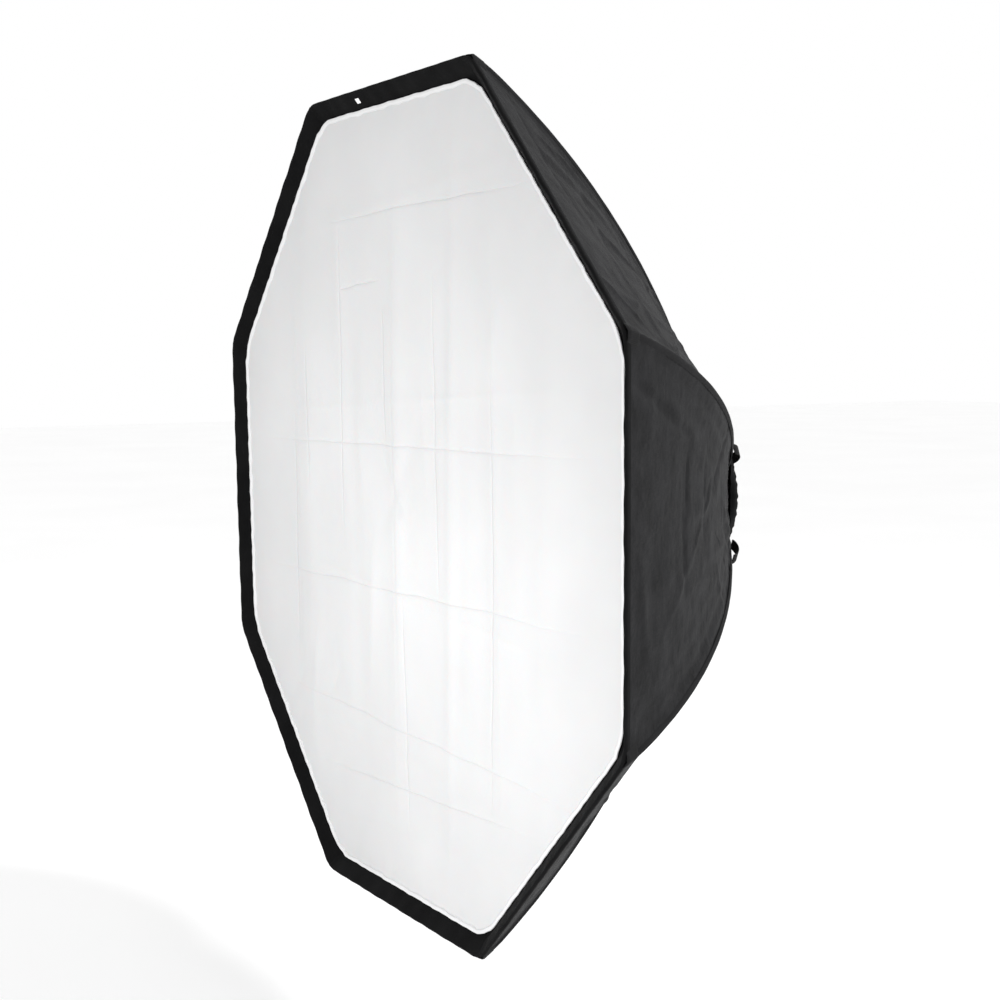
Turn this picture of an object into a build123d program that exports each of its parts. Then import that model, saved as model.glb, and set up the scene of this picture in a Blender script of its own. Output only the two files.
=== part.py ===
from build123d import *
import math
import os

# Eight-sided studio softbox on a rotating speed ring whose ribs fold like an umbrella's.
# Frame: origin at the centre of the mount insert's rear face, +Y towards the lamp,
# the white front faces -Y, +Z up. Millimetres and degrees.
# A rib or panel is drawn at +X, with x as its radius, and turned about Y into its place.

# ---- driving dimensions: the cloth box ----
SIDES = 8
SIDE_STEP = 360 / SIDES
HALF_STEP = SIDE_STEP / 2
RIM_ACROSS_FLATS = 1520.0
RIM_Y = -735.0               # plane of the front rim
REAR_SEAM_Y = -66.0          # where the eight panels end and the cuff begins
REAR_SEAM_RADIUS = 142.0     # measured to a rib line
RIB_LINE_CURVE = 1912.0      # radius of the bow that a rib line follows
SHELL_THICK = 0.8
LINING_THICK = 0.5
LAYER_GAP = 0.1
PANEL_GAP = 0.2              # half the space between two neighbouring panels
LIP_OUTER_INSET = 3.5        # from the rim's flat to where the lip starts
LIP_INNER_INSET = 30.0
RECESS_DEPTH = 20.0          # how far the front diffuser lies behind the rim
LIP_THICK = 1.2
DIFFUSER_THICK = 1.0
DIFFUSER_EDGE_GAP = 2.0
BAFFLE_CORNER_RADIUS = 330.0
BAFFLE_Y = -295.0
BAFFLE_THICK = 0.8
STRAP_LENGTH = 72.0
STRAP_WIDTH = 20.0
STRAP_THICK = 1.5
PIPING_RADIUS = 1.8
PIPING_LIFT = 2.4            # piping centre above the outer face of the shell

# ---- driving dimensions: ribs ----
ROD_RADIUS = 2.5
ROD_INSET = 14.0             # rod centre inside the rib line
BALL_RADIUS = 4.5
BALL_BEHIND_RIM = 42.0
ARM_LENGTH = 60.0
ARM_RADIUS = 6.5
HINGE_RADIUS = 112.5         # from the light axis to a rib's hinge pin
SOCKET_DEPTH = 40.0
ROD_END_PLAY = 1.0
EYE_RADIUS = 8.0
EYE_HALF_WIDTH = 5.0
NECK_PAST_EYE = 6.0          # overlap of the neck and the arm's round part
NECK_TALL = 11.2
SOCKET_PAST_EYE = 3.0        # the round part starts this far from the eye
POCKET_PLAY = 0.3            # between the rod's ball and a pocket's cheeks
POCKET_CHEEK_THICK = 2.2
POCKET_CHEEK_RADIUS = 9.0
POCKET_WALL_THICK = 3.0
POCKET_WALL_TALL = 11.0
POCKET_END_PLAY = 0.5
PIN_RADIUS = 2.0
RUNNING_FIT = 0.05
PRESS_HOLE_FIT = 0.02
CHEEK_GAP = 0.2

# ---- driving dimensions: speed ring and mount insert ----
BORE_RADIUS = 45.0
COLLAR_RADIUS = 49.0
LUG_RADIUS = 54.0
LUG_THICK = 4.0
LUG_SPAN = 38.0
LUG_COUNT = 3
FLANGE_RADIUS = 72.0
RING_INNER = 75.0
RING_OUTER = 98.0
RING_FLAT = 96.0             # distance of the clevis lands from the axis
RING_REAR_Y = -24.0
RING_FRONT_Y = -42.0
REAR_LIP_INNER = 60.0
REAR_LIP_THICK = 6.0
FLANGE_PLAY = 0.3
RETAINER_THICK = 4.0
RETAINER_OUTER = 95.5
SCREW_CIRCLE = 85.0
SCREW_RADIUS = 1.5
SCREW_HEAD_RADIUS = 3.2
SCREW_HEAD_THICK = 2.2
SCREW_DEPTH = 7.0
KNOB_ANGLES = (90.0, 225.0, 315.0)
KNOB_SHAFT_RADIUS = 3.0
KNOB_GRIP_RADIUS = 8.5
KNOB_GRIP_LENGTH = 14.0
KNOB_GRIP_GAP = 1.5          # between the ring and the grip
KNOB_LOBES = 6
KNOB_SCALLOP_RADIUS = 2.8
KNOB_SCALLOP_OUTSET = 1.0    # scallop centres lie this far outside the grip
KNOB_Y = -36.0
EAR_THICK = 3.0
CLEVIS_BASE_THICK = 3.0
CLEVIS_BASE_WIDTH = 28.0
CLEVIS_HEEL = 8.0            # how far the ears' rear corner stands off the ring
EAR_TAPER = 2.0
CLEVIS_BASE_INSET = 2.0      # a base plate is this much shorter than the ring is deep
PIN_HEAD_THICK = 1.4
PIN_HEAD_RADIUS = 3.4
PIN_HEAD_PLAY = 0.05

# ---- driving dimensions: rear cuff and trim ----
CUFF_RADIUS = 142.0
CUFF_MOUTH_RADIUS = 104.0
CUFF_FRONT_Y = -64.5
CUFF_SHOULDER_Y = -46.0
CUFF_CROWN_RADIUS = 125.0
CUFF_CROWN_Y = -32.0
CUFF_MOUTH_Y = -20.0
CUFF_THICK = 2.0
FLAP_SIZE = (52.0, 15.0, 2.0)
FLAP_STANDOFF = 1.0          # between the drum and a flap
FLAP_ANGLES = (45.0, 135.0, 225.0, 315.0)
LOOP_SIZE = (34.0, 22.0, 2.0)
LOOP_RADIUS_ON_RIB = 240.0
LOOP_LIFT = 9.0
TAG_SIZE = (14.0, 9.0, 0.8)
TAG_SIDE_OFFSET = -116.0

# ---- sizes worked out from those above ----
RIB_ANGLES = [HALF_STEP + SIDE_STEP * n for n in range(SIDES)]
PANEL_ANGLES = [SIDE_STEP * n for n in range(SIDES)]
FLAT_RATIO = math.cos(math.radians(HALF_STEP))
RIM_APOTHEM = RIM_ACROSS_FLATS / 2
RIM_CORNER = RIM_APOTHEM / FLAT_RATIO
DIFFUSER_Y = RIM_Y + RECESS_DEPTH
FAR = 1200.0                 # longer than any piece, for cutting tools


def arc_centre(outer, inner, radius):
    """Centre of the arc through two points that bulges away from the light axis."""
    middle_x = (outer[0] + inner[0]) / 2
    middle_y = (outer[1] + inner[1]) / 2
    chord = math.dist(outer, inner)
    rise = math.sqrt(radius**2 - chord**2 / 4)
    normal_x = (outer[1] - inner[1]) / chord
    normal_y = (inner[0] - outer[0]) / chord
    return middle_x + rise * normal_x, middle_y + rise * normal_y


RIB_CENTRE = arc_centre((RIM_CORNER, RIM_Y), (REAR_SEAM_RADIUS, REAR_SEAM_Y), RIB_LINE_CURVE)
ROD_CURVE = RIB_LINE_CURVE - ROD_INSET


def on_arc(angle, radius, centre=RIB_CENTRE):
    """Point of an arc at an angle measured from +Y towards +X."""
    turn = math.radians(angle)
    return centre[0] + radius * math.sin(turn), centre[1] + radius * math.cos(turn)


def rod_tangent(angle):
    """Direction of the rod towards its tip."""
    turn = math.radians(angle)
    return math.cos(turn), -math.sin(turn)


def angle_at_x(x, radius):
    """Angle where an arc about the rib centre reaches a radius x from the light axis."""
    return math.degrees(math.asin((x - RIB_CENTRE[0]) / radius))


def angle_at_y(y, radius):
    """Angle where an arc about the rib centre reaches the height y."""
    return math.degrees(math.acos((y - RIB_CENTRE[1]) / radius))


def rod_start_angle():
    """Angle where the bowed rod leaves its straight socket, found by halving."""
    low = angle_at_x(HINGE_RADIUS, ROD_CURVE)
    high = angle_at_x(HINGE_RADIUS + ARM_LENGTH, ROD_CURVE)
    for _ in range(40):
        middle = (low + high) / 2
        hinge_x = on_arc(middle, ROD_CURVE)[0] - ARM_LENGTH * rod_tangent(middle)[0]
        if hinge_x < HINGE_RADIUS:
            low = middle
        else:
            high = middle
    return middle


ROD_START = rod_start_angle()
ROD_END = angle_at_y(RIM_Y + BALL_BEHIND_RIM, ROD_CURVE)
ARM_DIRECTION = rod_tangent(ROD_START)
ROD_START_POINT = on_arc(ROD_START, ROD_CURVE)
HINGE = (
    ROD_START_POINT[0] - ARM_LENGTH * ARM_DIRECTION[0],
    ROD_START_POINT[1] - ARM_LENGTH * ARM_DIRECTION[1],
)
BALL = on_arc(ROD_END, ROD_CURVE)


def turned(shape, angle):
    """Turn a piece drawn at +X about the light axis to its place."""
    return Rot(0, -angle, 0) * shape


def ring(inner, outer, low_y, high_y):
    """Plain ring about the light axis."""
    height = high_y - low_y
    body = Cylinder(outer, height) - Cylinder(inner, height)
    return Pos(0, (low_y + high_y) / 2, 0) * Rot(90, 0, 0) * body


def rod_along(start, direction, radius, length):
    """Round bar in the XY plane from a point along a direction."""
    plane = Plane(origin=(start[0], start[1], 0), z_dir=(direction[0], direction[1], 0))
    return extrude(plane * Circle(radius), amount=length)


def pin_across(centre, radius, half_width):
    """Round bar across a rib, along Z."""
    return Pos(centre[0], centre[1], 0) * Cylinder(radius, 2 * half_width)


def sector(half_angle, gap):
    """Wedge about +X that cuts one panel out of a long band."""
    apex = gap / math.sin(math.radians(half_angle))
    reach = (FAR - apex) * math.tan(math.radians(half_angle))
    outline = Polygon((apex, 0), (FAR, reach), (FAR, -reach), align=None)
    return extrude(Plane.XZ * outline, amount=FAR, both=True)


def octagon_plate(corner_radius, low_y, thick):
    """Flat octagon with its corners on the rib lines."""
    corners = []
    for angle in RIB_ANGLES:
        turn = math.radians(angle)
        corners.append((corner_radius * math.cos(turn), corner_radius * math.sin(turn)))
    face = Plane(origin=(0, low_y, 0), x_dir=(1, 0, 0), z_dir=(0, -1, 0)) * Polygon(*corners, align=None)
    return extrude(face, amount=-thick)


# ---- cloth ----
def panel_curve(inset):
    """Three points of a panel's bow in the plane through its middle, an inset inside the shell."""
    radius = RIB_LINE_CURVE - inset
    ends = angle_at_y(REAR_SEAM_Y, RIB_LINE_CURVE), angle_at_y(RIM_Y, RIB_LINE_CURVE)
    points = []
    for angle in (ends[0], sum(ends) / 2, ends[1]):
        x, y = on_arc(angle, radius)
        points.append((x * FLAT_RATIO, y))
    return points


def curved_panel(outer_inset, thick):
    """One cloth panel between two rib lines, bowed along its length."""
    outside = panel_curve(outer_inset)
    inside = panel_curve(outer_inset + thick)
    outline = [
        ThreePointArc(*outside),
        Line(outside[2], inside[2]),
        ThreePointArc(*reversed(inside)),
        Line(inside[0], outside[0]),
    ]
    band = extrude(make_face(outline), amount=FAR / 2, both=True)
    return band & sector(HALF_STEP, PANEL_GAP)


def lip_side():
    """One side of the slanted black lip between the rim and the recessed diffuser."""
    outer = (RIM_APOTHEM - LIP_OUTER_INSET, RIM_Y)
    inner = (RIM_APOTHEM - LIP_INNER_INSET, RIM_Y + RECESS_DEPTH)
    outline = Polygon(
        outer,
        inner,
        (inner[0], inner[1] - LIP_THICK),
        (outer[0], outer[1] - LIP_THICK),
        align=None,
    )
    return extrude(outline, amount=FAR / 2, both=True) & sector(HALF_STEP, PANEL_GAP)


def piping():
    """Cord sewn along one rib line on the outside of the shell."""
    radius = RIB_LINE_CURVE + PIPING_LIFT
    start = angle_at_y(REAR_SEAM_Y, RIB_LINE_CURVE)
    end = angle_at_y(RIM_Y, RIB_LINE_CURVE)
    return bowed_bar(start, end, radius, PIPING_RADIUS)


def bowed_bar(start, end, curve, thickness_radius):
    """Round bar bent to an arc about the rib centre."""
    x, y = on_arc(start, curve)
    direction = rod_tangent(start)
    plane = Plane(origin=(x, y, 0), z_dir=(direction[0], direction[1], 0))
    axis = Axis((RIB_CENTRE[0], RIB_CENTRE[1], 0), (0, 0, -1))
    return revolve(plane * Circle(thickness_radius), axis, end - start)


def baffle_strap():
    """Elastic strap from a corner of the inner baffle towards its rib."""
    middle = BAFFLE_CORNER_RADIUS + 1 + STRAP_LENGTH / 2
    return Pos(middle, BAFFLE_Y, 0) * Box(STRAP_LENGTH, STRAP_THICK, STRAP_WIDTH)


def rear_cuff():
    """Elastic cuff that closes the box over the rib roots, open around the lamp mount."""
    outline = Polygon(
        (CUFF_RADIUS, CUFF_FRONT_Y),
        (CUFF_RADIUS, CUFF_SHOULDER_Y),
        (CUFF_CROWN_RADIUS, CUFF_CROWN_Y),
        (CUFF_MOUTH_RADIUS, CUFF_MOUTH_Y),
        (CUFF_MOUTH_RADIUS, CUFF_MOUTH_Y - CUFF_THICK),
        (CUFF_CROWN_RADIUS, CUFF_CROWN_Y - CUFF_THICK),
        (CUFF_RADIUS - CUFF_THICK, CUFF_SHOULDER_Y - CUFF_THICK),
        (CUFF_RADIUS - CUFF_THICK, CUFF_FRONT_Y),
        align=None,
    )
    return revolve(outline, Axis.Y)


def cuff_flap():
    """Closing flap that stands just proud of the cuff."""
    wide, tall, thick = FLAP_SIZE
    middle_y = (CUFF_FRONT_Y + CUFF_SHOULDER_Y) / 2
    return Pos(CUFF_RADIUS + FLAP_STANDOFF + thick / 2, middle_y, 0) * Box(thick, tall, wide)


def hanging_loop():
    """Webbing loop over a rib line, used for hanging the box and pulling on the rib."""
    long, wide, thick = LOOP_SIZE
    angle = angle_at_x(LOOP_RADIUS_ON_RIB, RIB_LINE_CURVE)
    x, y = on_arc(angle, RIB_LINE_CURVE + LOOP_LIFT)
    strap = Pos(x, y, 0) * Rot(0, 0, -angle) * Box(long, thick, wide)
    return strap


def care_tag():
    """Small blank sewn label on the lip of the top side."""
    slope = math.degrees(math.atan2(RECESS_DEPTH, LIP_INNER_INSET - LIP_OUTER_INSET))
    x = RIM_APOTHEM - (LIP_OUTER_INSET + LIP_INNER_INSET) / 2
    y = RIM_Y + RECESS_DEPTH / 2 - LIP_THICK - TAG_SIZE[2]
    label = Box(TAG_SIZE[1], TAG_SIZE[2], TAG_SIZE[0])
    return Pos(x, y, -TAG_SIDE_OFFSET) * Rot(0, 0, -slope) * label


# ---- ribs ----
def rib_rod():
    """Spring-steel rod: a straight root, a bow, and a ball at the tip."""
    root_end = (
        ROD_START_POINT[0] - SOCKET_DEPTH * ARM_DIRECTION[0],
        ROD_START_POINT[1] - SOCKET_DEPTH * ARM_DIRECTION[1],
    )
    bow_middle = on_arc((ROD_START + ROD_END) / 2, ROD_CURVE)
    path = Line(root_end, ROD_START_POINT) + ThreePointArc(ROD_START_POINT, bow_middle, BALL)
    section = Plane(origin=(root_end[0], root_end[1], 0), z_dir=(ARM_DIRECTION[0], ARM_DIRECTION[1], 0))
    rod = sweep(section * Circle(ROD_RADIUS), path=path)
    return rod + Pos(BALL[0], BALL[1], 0) * Sphere(BALL_RADIUS)


def rib_arm():
    """Moulded arm: a hinge eye, a neck and a socket for the rod."""
    angle = math.degrees(math.atan2(ARM_DIRECTION[1], ARM_DIRECTION[0]))
    eye = pin_across(HINGE, EYE_RADIUS, EYE_HALF_WIDTH)
    neck_length = EYE_RADIUS + NECK_PAST_EYE
    neck = Pos(neck_length / 2, 0, 0) * Box(neck_length, NECK_TALL, 2 * EYE_HALF_WIDTH)
    neck = Pos(HINGE[0], HINGE[1], 0) * Rot(0, 0, angle) * neck
    reach = EYE_RADIUS + SOCKET_PAST_EYE
    socket_start = (HINGE[0] + reach * ARM_DIRECTION[0], HINGE[1] + reach * ARM_DIRECTION[1])
    socket = rod_along(socket_start, ARM_DIRECTION, ARM_RADIUS, ARM_LENGTH - reach)
    back = (-ARM_DIRECTION[0], -ARM_DIRECTION[1])
    hole_radius = ROD_RADIUS + PRESS_HOLE_FIT
    hole = rod_along(ROD_START_POINT, back, hole_radius, SOCKET_DEPTH + ROD_END_PLAY)
    bore = pin_across(HINGE, PIN_RADIUS + RUNNING_FIT, EYE_HALF_WIDTH + 1)
    return eye + neck + socket - hole - bore


def corner_pocket():
    """Tip cup sewn into a rim corner: two cheeks riveted to an end wall around the rod's ball."""
    direction = rod_tangent(ROD_END)
    angle = math.degrees(math.atan2(direction[1], direction[0]))
    inner_half = BALL_RADIUS + POCKET_PLAY
    wall_middle = BALL_RADIUS + POCKET_END_PLAY + POCKET_WALL_THICK / 2
    pieces = [Pos(wall_middle, 0, 0) * Box(POCKET_WALL_THICK, POCKET_WALL_TALL, 2 * inner_half)]
    for side in (-1, 1):
        cheek = Cylinder(POCKET_CHEEK_RADIUS, POCKET_CHEEK_THICK)
        pieces.append(Pos(0, 0, side * (inner_half + POCKET_CHEEK_THICK / 2)) * cheek)
    return Pos(BALL[0], BALL[1], 0) * Rot(0, 0, angle) * group(pieces)


# ---- speed ring ----
def mount_insert():
    """Bayonet insert that clips to the lamp and carries the rotating ring on its flange."""
    flange_rear = RING_REAR_Y - REAR_LIP_THICK - FLANGE_PLAY
    flange_front = RING_FRONT_Y + FLANGE_PLAY
    insert = ring(BORE_RADIUS, FLANGE_RADIUS, flange_front, flange_rear)
    insert += ring(BORE_RADIUS, COLLAR_RADIUS, flange_rear, 0)
    lug_ring = ring(COLLAR_RADIUS - 1, LUG_RADIUS, -LUG_THICK, 0)
    for n in range(LUG_COUNT):
        insert += lug_ring & turned(sector(LUG_SPAN / 2, 0), 90 + n * 360 / LUG_COUNT)
    return insert


def speed_ring():
    """Ring that turns on the insert: rear lip, eight clevis lands, knob and screw holes."""
    body = ring(RING_INNER, RING_OUTER, RING_FRONT_Y, RING_REAR_Y)
    body += ring(REAR_LIP_INNER, RING_INNER + 1, RING_REAR_Y - REAR_LIP_THICK, RING_REAR_Y)
    land = Pos(RING_FLAT + 5, (RING_FRONT_Y + RING_REAR_Y) / 2, 0) * Box(10, 40, 60)
    for angle in RIB_ANGLES:
        body -= turned(land, angle)
    knob_hole = rod_along((RING_INNER - 5, KNOB_Y), (1, 0), KNOB_SHAFT_RADIUS + RUNNING_FIT, 40)
    for angle in KNOB_ANGLES:
        body -= turned(knob_hole, angle)
    screw_start = (SCREW_CIRCLE, RING_FRONT_Y - 1)
    screw_hole = rod_along(screw_start, (0, 1), SCREW_RADIUS + PRESS_HOLE_FIT, SCREW_DEPTH + 2)
    for angle in screw_angles():
        body -= turned(screw_hole, angle)
    return body


def screw_angles():
    return [angle + SIDE_STEP / 4 for angle in PANEL_ANGLES]


def retainer_ring():
    """Front plate that keeps the insert's flange in the speed ring."""
    plate = ring(REAR_LIP_INNER, RETAINER_OUTER, RING_FRONT_Y - RETAINER_THICK, RING_FRONT_Y)
    start = (SCREW_CIRCLE, RING_FRONT_Y - RETAINER_THICK - 1)
    hole = rod_along(start, (0, 1), SCREW_RADIUS + PRESS_HOLE_FIT, RETAINER_THICK + 2)
    for angle in screw_angles():
        plate -= turned(hole, angle)
    return plate


def retainer_screw():
    """Pan-head screw through the retainer plate into the ring."""
    head_start = (SCREW_CIRCLE, RING_FRONT_Y - RETAINER_THICK - SCREW_HEAD_THICK)
    head = rod_along(head_start, (0, 1), SCREW_HEAD_RADIUS, SCREW_HEAD_THICK)
    shank_start = (SCREW_CIRCLE, RING_FRONT_Y - RETAINER_THICK - 0.5)
    shank = rod_along(shank_start, (0, 1), SCREW_RADIUS, RETAINER_THICK + SCREW_DEPTH)
    return head + shank


def rib_clevis():
    """Fork on a land of the ring: a base plate and two ears around a rib's eye."""
    inner_half = EYE_HALF_WIDTH + CHEEK_GAP
    base_place = Pos(RING_FLAT + CLEVIS_BASE_THICK / 2, (RING_FRONT_Y + RING_REAR_Y) / 2, 0)
    base_length = RING_REAR_Y - RING_FRONT_Y - CLEVIS_BASE_INSET
    pieces = [base_place * Box(CLEVIS_BASE_THICK, base_length, CLEVIS_BASE_WIDTH)]
    foot = RING_FLAT + CLEVIS_BASE_THICK
    rear = RING_REAR_Y - CLEVIS_BASE_INSET / 2
    outline = Polygon(
        (foot, rear),
        (foot, RING_FRONT_Y),
        (HINGE[0] - EYE_RADIUS, HINGE[1]),
        (HINGE[0] + EYE_RADIUS, HINGE[1]),
        (HINGE[0] + EYE_RADIUS - EAR_TAPER, RING_FRONT_Y - EAR_TAPER),
        (RING_FLAT + CLEVIS_HEEL, rear),
        align=None,
    )
    outline += Pos(HINGE[0], HINGE[1]) * Circle(EYE_RADIUS)
    pin_hole = pin_across(HINGE, PIN_RADIUS + PRESS_HOLE_FIT, 2 * EYE_HALF_WIDTH)
    for side in (-1, 1):
        ear = extrude(outline, amount=EAR_THICK / 2, both=True)
        pieces.append(Pos(0, 0, side * (inner_half + EAR_THICK / 2)) * ear - pin_hole)
    return group(pieces)


def hinge_pin():
    """Headed pin through a clevis and a rib's eye."""
    ear_outer = EYE_HALF_WIDTH + CHEEK_GAP + EAR_THICK
    pin = pin_across(HINGE, PIN_RADIUS, ear_outer + PIN_HEAD_THICK)
    for side in (-1, 1):
        head = pin_across(HINGE, PIN_HEAD_RADIUS, PIN_HEAD_THICK / 2)
        pin += Pos(0, 0, side * (ear_outer + PIN_HEAD_THICK / 2 + PIN_HEAD_PLAY)) * head
    return pin


def clamp_knob():
    """Lobed thumb screw that clamps the ring's turn on the insert."""
    shaft_start = (FLANGE_RADIUS + FLANGE_PLAY, KNOB_Y)
    grip_start = (RING_OUTER + KNOB_GRIP_GAP, KNOB_Y)
    shaft = rod_along(shaft_start, (1, 0), KNOB_SHAFT_RADIUS, grip_start[0] - shaft_start[0] + 1)
    grip = rod_along(grip_start, (1, 0), KNOB_GRIP_RADIUS, KNOB_GRIP_LENGTH)
    for n in range(KNOB_LOBES):
        turn = math.radians(360 / KNOB_LOBES * n)
        away = KNOB_GRIP_RADIUS + KNOB_SCALLOP_OUTSET
        scallop = Pos(0, away * math.cos(turn), away * math.sin(turn)) * rod_along(
            (grip_start[0] - 1, KNOB_Y), (1, 0), KNOB_SCALLOP_RADIUS, KNOB_GRIP_LENGTH + 2
        )
        grip -= scallop
    return shaft + grip


# ---- writing the pieces ----
def write(name, shape):
    export_step(shape, f"parts/{name}.step")


def group(shapes):
    """Several separate solids in one node."""
    solids = []
    for shape in shapes:
        solids.extend(shape.solids())
    return Compound(solids)


def around(shape, angles):
    return group([turned(shape, angle) for angle in angles])


def main():
    os.makedirs("parts", exist_ok=True)
    write("mount_insert", mount_insert())
    write("speed_ring", speed_ring())
    write("retainer_ring", retainer_ring())
    write("retainer_screws", around(retainer_screw(), screw_angles()))
    write("rib_clevises", around(rib_clevis(), RIB_ANGLES))
    write("hinge_pins", around(hinge_pin(), RIB_ANGLES))
    for n, angle in enumerate(KNOB_ANGLES, start=1):
        write(f"clamp_knob_{n}", turned(clamp_knob(), angle))

    arm = rib_arm()
    rod = rib_rod()
    pocket = corner_pocket()
    for n, angle in enumerate(RIB_ANGLES, start=1):
        write(f"rib_arm_{n}", turned(arm, angle))
        write(f"rib_rod_{n}", turned(rod, angle))
        write(f"corner_pocket_{n}", turned(pocket, angle))

    shell = curved_panel(0, SHELL_THICK)
    for n, angle in enumerate(PANEL_ANGLES, start=1):
        write(f"shell_gore_{n}", turned(shell, angle))
    lining = curved_panel(SHELL_THICK + LAYER_GAP, LINING_THICK)
    write("silver_lining", around(lining, PANEL_ANGLES))
    write("front_lip", around(lip_side(), PANEL_ANGLES))
    write("seam_binding", around(piping(), RIB_ANGLES))
    diffuser_corner = (RIM_APOTHEM - LIP_INNER_INSET - DIFFUSER_EDGE_GAP) / FLAT_RATIO
    write("front_diffuser", octagon_plate(diffuser_corner, DIFFUSER_Y, DIFFUSER_THICK))
    write("inner_baffle", octagon_plate(BAFFLE_CORNER_RADIUS, BAFFLE_Y, BAFFLE_THICK))
    write("baffle_straps", around(baffle_strap(), RIB_ANGLES))

    write("rear_cuff", rear_cuff())
    write("cuff_flaps", around(cuff_flap(), FLAP_ANGLES))
    write("hanging_loops", around(hanging_loop(), RIB_ANGLES))
    write("care_tag", turned(care_tag(), 90))

    print("rib hinge, mm:", [round(v, 4) for v in HINGE])
    print("rod ball, mm:", [round(v, 4) for v in BALL])
    print("rod start angle:", round(ROD_START, 4), "rib centre:", [round(v, 3) for v in RIB_CENTRE])


main()
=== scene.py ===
"""Looks of the eight-sided studio softbox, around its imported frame. Metres, +Y towards the lamp."""
import math

import bpy
import numpy as np
from mathutils import Matrix, Vector, noise


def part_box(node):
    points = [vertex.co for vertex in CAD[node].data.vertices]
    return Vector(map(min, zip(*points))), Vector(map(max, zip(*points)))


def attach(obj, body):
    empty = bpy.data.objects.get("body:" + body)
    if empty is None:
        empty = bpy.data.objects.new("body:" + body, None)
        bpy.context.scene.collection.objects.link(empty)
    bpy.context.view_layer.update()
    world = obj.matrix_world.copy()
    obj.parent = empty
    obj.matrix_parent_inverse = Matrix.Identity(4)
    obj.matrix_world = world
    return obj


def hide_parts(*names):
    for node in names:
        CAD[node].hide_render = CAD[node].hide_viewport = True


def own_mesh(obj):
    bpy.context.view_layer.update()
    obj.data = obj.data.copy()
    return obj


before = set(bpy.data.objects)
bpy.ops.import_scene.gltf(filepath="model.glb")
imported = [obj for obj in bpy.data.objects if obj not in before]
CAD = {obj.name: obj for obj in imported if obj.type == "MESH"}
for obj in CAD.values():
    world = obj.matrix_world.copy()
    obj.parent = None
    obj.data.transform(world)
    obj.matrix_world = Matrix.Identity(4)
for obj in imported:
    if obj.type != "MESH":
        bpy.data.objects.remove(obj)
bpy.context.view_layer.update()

# ---- driving values, beside those read from the frame ----
SIDES = 8
STEP = 2 * math.pi / SIDES
HALF = STEP / 2
FLAT = math.cos(HALF)
RIB_BOW = 1.912              # radius of the bow that a rib line follows
RECESS = 0.020               # the diffuser lies this far behind the rim
SHELL_ROWS = 216             # cells of a panel from the rear seam to the rim
SHELL_COLUMNS = 120          # cells across a panel
LINING_COARSER = 4           # the lining has this many times fewer cells each way
LINING_LIFT = -0.0080        # it hangs this far inside the shell
LINING_RIM_EASE = 0.08       # over this last share of the rib line it closes up to the shell,
LINING_RIM_SHARE = 0.25      # down to this share of the distance at the rim
PETAL_BANDS = (              # first and last row of a petal's band, and the width that it keeps folded
    (0, 20, 0.96),
    (20, 52, 0.76),
    (52, 104, 0.57),
    (104, 216, 0.41),
)
BACK = np.array([0.0, 1.0, 0.0])

RIM_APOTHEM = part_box("shell_gore_1")[1].x
RIM_CORNER = RIM_APOTHEM / FLAT
RIM_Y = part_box("front_lip")[1].y - RECESS
CUFF_LAP = 0.0015            # the cuff starts this far behind the shell's rear seam
REAR_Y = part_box("rear_cuff")[0].y - CUFF_LAP
REAR_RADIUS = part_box("rear_cuff")[1].x
DIFFUSER_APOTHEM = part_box("front_diffuser")[1].x
DIFFUSER_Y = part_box("front_diffuser")[0].y
BAFFLE_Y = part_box("inner_baffle")[0].y
BAFFLE_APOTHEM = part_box("inner_baffle")[1].x
PANELS = [STEP * n for n in range(SIDES)]
RIBS = [HALF + STEP * n for n in range(SIDES)]


def outward(angle):
    return np.array([math.cos(angle), 0.0, math.sin(angle)])


def along_side(angle):
    return np.array([-math.sin(angle), 0.0, math.cos(angle)])


def bow_centre():
    """Centre of the rib line's arc, as (radius, y)."""
    outer = np.array([RIM_CORNER, RIM_Y])
    inner = np.array([REAR_RADIUS, REAR_Y])
    chord = np.linalg.norm(outer - inner)
    rise = math.sqrt(RIB_BOW**2 - chord**2 / 4)
    normal = np.array([outer[1] - inner[1], inner[0] - outer[0]]) / chord
    return (outer + inner) / 2 + rise * normal


BOW = bow_centre()
REAR_ANGLE = math.acos((REAR_Y - BOW[1]) / RIB_BOW)
RIM_ANGLE = math.acos((RIM_Y - BOW[1]) / RIB_BOW)
RIB_LENGTH = RIB_BOW * (RIM_ANGLE - REAR_ANGLE)


def rib_line(u):
    """(radius, y, angle) on the rib line; u runs from 0 at the rear seam to 1 at the rim."""
    angle = REAR_ANGLE + (RIM_ANGLE - REAR_ANGLE) * u
    return BOW[0] + RIB_BOW * np.sin(angle), BOW[1] + RIB_BOW * np.cos(angle), angle


def u_at_radius(radius):
    return (math.asin((radius - BOW[0]) / RIB_BOW) - REAR_ANGLE) / (RIM_ANGLE - REAR_ANGLE)


# ---- cloth relief ----
def soft_noise(points, scale, seed):
    """Smooth value between -1 and 1 for each point of a grid."""
    shift = Vector((seed * 7.31, seed * 3.17, seed * 5.77))
    values = [noise.noise(Vector(p) * scale + shift) for p in points.reshape(-1, 3)]
    return np.array(values).reshape(points.shape[:-1])


def line_distance(x, y, start, end):
    """How far points lie aside from a line, and how far along it they are, from 0 to 1."""
    dx, dy = end[0] - start[0], end[1] - start[1]
    share = ((x - start[0]) * dx + (y - start[1]) * dy) / (dx * dx + dy * dy)
    side = ((x - start[0]) * dy - (y - start[1]) * dx) / math.hypot(dx, dy)
    return side, share


def crease(x, y, start, end, width, height):
    """A fold mark that fades out at both ends: a sharp ridge with a soft foot."""
    side, share = line_distance(x, y, start, end)
    fade = np.clip(np.sin(np.clip(share, 0, 1) * math.pi), 0, 1) ** 0.7
    return height * fade * np.exp(-np.abs(side) / width)


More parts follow.
